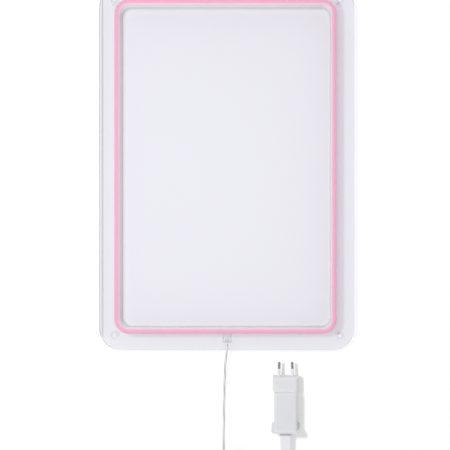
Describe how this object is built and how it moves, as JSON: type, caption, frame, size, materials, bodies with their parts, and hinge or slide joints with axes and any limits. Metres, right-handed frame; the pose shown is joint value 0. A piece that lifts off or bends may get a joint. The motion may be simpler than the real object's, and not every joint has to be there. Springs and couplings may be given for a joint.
{
  "type": "led writing board",
  "caption": "Clear acrylic writing board with a ring of pink neon flex on its face, corner screw holes on clear spacers, a thin USB lead and a plug-in mains adapter.",
  "frame": {"origin": "on the surface that the board lies on, below the middle of the board: the bottom centre of the object's box without the free cord and what is on it", "axes": "+Z out of the writing face (up, as the board lies on its spacers), +Y along the board's long side, away from the cord exit, +X to the right seen from the front"},
  "size_m": [0.35, 0.6903, 0.031],
  "materials": {
    "clear_acrylic": "polished clear",
    "clear_spacer": "polished clear",
    "clear_glue": "clear",
    "white_silicone": "satin white",
    "pink_silicone": "satin translucent pink",
    "white_flex_circuit": "matt white",
    "led_package": "matt",
    "clear_box": "clear",
    "clear_sleeve": "satin translucent",
    "wire_insulation": "satin white",
    "clear_cord": "satin translucent",
    "bright_steel": "bright",
    "white_insulator": "matt white",
    "contact_metal": "bright",
    "white_overmould": "satin white",
    "adapter_plastic": "satin white",
    "pin_metal": "satin nickel",
    "pin_sleeve_plastic": "satin white",
    "circuit_board": "matt green",
    "capacitor_can": "sleeved",
    "ferrite": "matt",
    "winding": "taped"
  },
  "bodies": {
    "board": {"acrylic_board": "clear_acrylic", "corner_spacer_top_left": "clear_spacer", "corner_spacer_top_right": "clear_spacer", "corner_spacer_bottom_left": "clear_spacer", "corner_spacer_bottom_right": "clear_spacer", "neon_adhesive": "clear_glue", "neon_jacket": "white_silicone", "neon_diffuser": "pink_silicone", "led_tape": "white_flex_circuit", "led_chips": "led_package", "exit_box_plate": "clear_box", "exit_box_hood": "clear_box", "cord_gland": "clear_sleeve", "feed_wires": "wire_insulation", "cord_lead": "clear_cord", "cord_coil": "clear_cord", "cord_tail": "clear_cord", "usb_shell": "bright_steel", "usb_tongue": "white_insulator", "usb_contacts": "contact_metal", "usb_overmould": "white_overmould", "usb_strain_relief": "white_overmould"},
    "adapter": {"adapter_plug_head": "adapter_plastic", "adapter_case": "adapter_plastic", "adapter_end_cap": "adapter_plastic", "mains_pin_left": "pin_metal", "mains_pin_right": "pin_metal", "pin_sleeve_left": "pin_sleeve_plastic", "pin_sleeve_right": "pin_sleeve_plastic", "adapter_circuit_board": "circuit_board", "mains_leads": "contact_metal", "filter_capacitors": "capacitor_can", "transformer_core": "ferrite", "transformer_winding": "winding", "usb_port_shell": "bright_steel", "usb_port_tongue": "white_insulator", "usb_port_contacts": "contact_metal"}
  },
  "joints": [
    {"name": "adapter_unplug", "type": "slide", "parent": "board", "child": "adapter", "axis": [0, 1, 0], "range_m": [0, 0.0135]}
  ]
}
